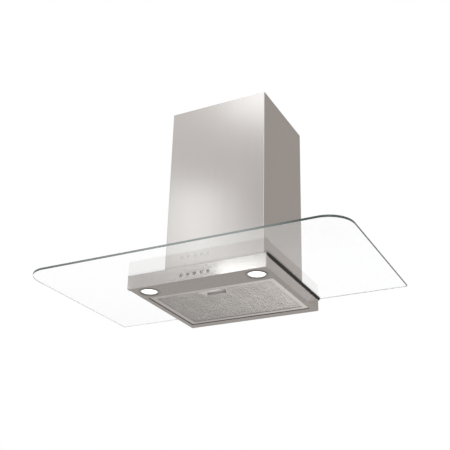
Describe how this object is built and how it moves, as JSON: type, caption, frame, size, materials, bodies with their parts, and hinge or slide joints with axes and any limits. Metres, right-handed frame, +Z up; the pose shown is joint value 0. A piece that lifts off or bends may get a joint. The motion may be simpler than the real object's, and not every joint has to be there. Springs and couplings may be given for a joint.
{
  "type": "range hood",
  "caption": "Wall-mounted chimney range hood: flat clear glass canopy with rounded front corners, slim steel body under it with push buttons, round lamps and a hinged grease filter.",
  "frame": {"origin": "on the wall's face, on the hood's centre line, level with the glass's underside", "axes": "+X to the right as the cook faces the hood, +Y into the wall, +Z up"},
  "size_m": [0.9, 0.493, 0.5844],
  "materials": {
    "canopy_glass": "clear toughened glass with ground edges",
    "brushed_steel": "fine brushed grain",
    "galvanised": "matt galvanised",
    "filter_aluminium": "satin",
    "mesh_aluminium": "matt expanded mesh",
    "handle_plastic": "fine texture",
    "seal_rubber": "matt",
    "nylon": "natural",
    "dark_plastic": "moulded",
    "zinc_screw": "zinc plated",
    "button_metal": "satin",
    "lamp_trim": "satin nickel",
    "lamp_glass": "frosted",
    "bulb_glass": "clear",
    "reflector": "polished",
    "socket_ceramic": "unglazed",
    "board": "solder resist",
    "board_parts": "moulded",
    "spring_steel": "bright wire",
    "fan_plastic": "moulded",
    "motor_paint": "satin",
    "motor_iron": "laminated",
    "shaft_steel": "ground",
    "capacitor_case": "moulded",
    "flap_plastic": "moulded",
    "lead_sleeve": "flexible"
  },
  "bodies": {
    "hood": {"glass_canopy": "canopy_glass", "glass_gasket": "seal_rubber", "glass_spacers": "dark_plastic", "glass_bushes": "nylon", "glass_clamps": "galvanised", "glass_screws": "zinc_screw", "glass_nuts": "zinc_screw", "body_casing": "brushed_steel", "fascia": "brushed_steel", "lamp_panel": "brushed_steel", "fascia_screws": "zinc_screw", "lamp_bezel_left": "lamp_trim", "lamp_bezel_right": "lamp_trim", "lamp_lens_left": "lamp_glass", "lamp_lens_right": "lamp_glass", "lamp_cups": "reflector", "lamp_sockets": "socket_ceramic", "lamp_capsules": "bulb_glass", "lamp_transformer": "dark_plastic", "button_carrier": "dark_plastic", "button_switches": "board_parts", "control_board": "board", "board_relays": "board_parts", "pivot_brackets": "galvanised", "back_plate": "galvanised", "blower_box": "galvanised", "blower_rails": "galvanised", "outlet_collar": "dark_plastic", "terminal_box": "dark_plastic", "terminal_block": "nylon", "cable_gland": "dark_plastic", "scroll_housing": "galvanised", "motor_stator": "motor_iron", "motor_housing": "motor_paint", "motor_bearings": "shaft_steel", "motor_bracket": "galvanised", "motor_capacitor": "capacitor_case", "chimney_lower": "brushed_steel", "chimney_screws": "zinc_screw", "wall_bracket": "galvanised", "inner_leads": "lead_sleeve"},
    "fan": {"impeller": "fan_plastic", "motor_shaft": "shaft_steel", "motor_rotor": "motor_iron"},
    "damper_flap_front": {"damper_flap_front": "flap_plastic"},
    "damper_flap_rear": {"damper_flap_rear": "flap_plastic"},
    "upper_chimney": {"chimney_upper": "brushed_steel", "ceiling_bracket": "galvanised"},
    "grease_filter": {"filter_frame": "filter_aluminium", "filter_mesh_sheets": "mesh_aluminium", "filter_mesh_core": "mesh_aluminium", "filter_handle": "handle_plastic", "filter_pivots": "zinc_screw", "latch_springs": "spring_steel"},
    "filter_latch": {"filter_latch": "handle_plastic"},
    "button_1": {"button_1": "button_metal"},
    "button_2": {"button_2": "button_metal"},
    "button_3": {"button_3": "button_metal"},
    "button_4": {"button_4": "button_metal"},
    "button_5": {"button_5": "button_metal"}
  },
  "joints": [
    {"name": "button_1_press", "type": "slide", "parent": "hood", "child": "button_1", "axis": [0, 1, 0], "range_m": [0, 0.0015], "stiffness_N_per_m": 400},
    {"name": "button_2_press", "type": "slide", "parent": "hood", "child": "button_2", "axis": [0, 1, 0], "range_m": [0, 0.0015], "stiffness_N_per_m": 400},
    {"name": "button_3_press", "type": "slide", "parent": "hood", "child": "button_3", "axis": [0, 1, 0], "range_m": [0, 0.0015], "stiffness_N_per_m": 400},
    {"name": "button_4_press", "type": "slide", "parent": "hood", "child": "button_4", "axis": [0, 1, 0], "range_m": [0, 0.0015], "stiffness_N_per_m": 400},
    {"name": "button_5_press", "type": "slide", "parent": "hood", "child": "button_5", "axis": [0, 1, 0], "range_m": [0, 0.0015], "stiffness_N_per_m": 400},
    {"name": "fan_spin", "type": "hinge", "parent": "hood", "child": "fan", "pos_m": [0, -0.105, 0.088], "axis": [1, 0, 0], "continuous": true},
    {"name": "damper_front_swing", "type": "hinge", "parent": "hood", "child": "damper_flap_front", "pos_m": [0, -0.154, 0.228], "axis": [-1, 0, 0], "range_deg": [0, 75]},
    {"name": "damper_rear_swing", "type": "hinge", "parent": "hood", "child": "damper_flap_rear", "pos_m": [0, -0.146, 0.228], "axis": [1, 0, 0], "range_deg": [0, 75]},
    {"name": "upper_chimney_slide", "type": "slide", "parent": "hood", "child": "upper_chimney", "axis": [0, 0, 1], "range_m": [0, 0.35]},
    {"name": "filter_swing", "type": "hinge", "parent": "hood", "child": "grease_filter", "pos_m": [0, -0.044, -0.032], "axis": [1, 0, 0], "range_deg": [0, 85]},
    {"name": "latch_slide", "type": "slide", "parent": "grease_filter", "child": "filter_latch", "axis": [0, 1, 0], "range_m": [0, 0.006], "stiffness_N_per_m": 150, "deforming": ["latch_springs"]}
  ]
}
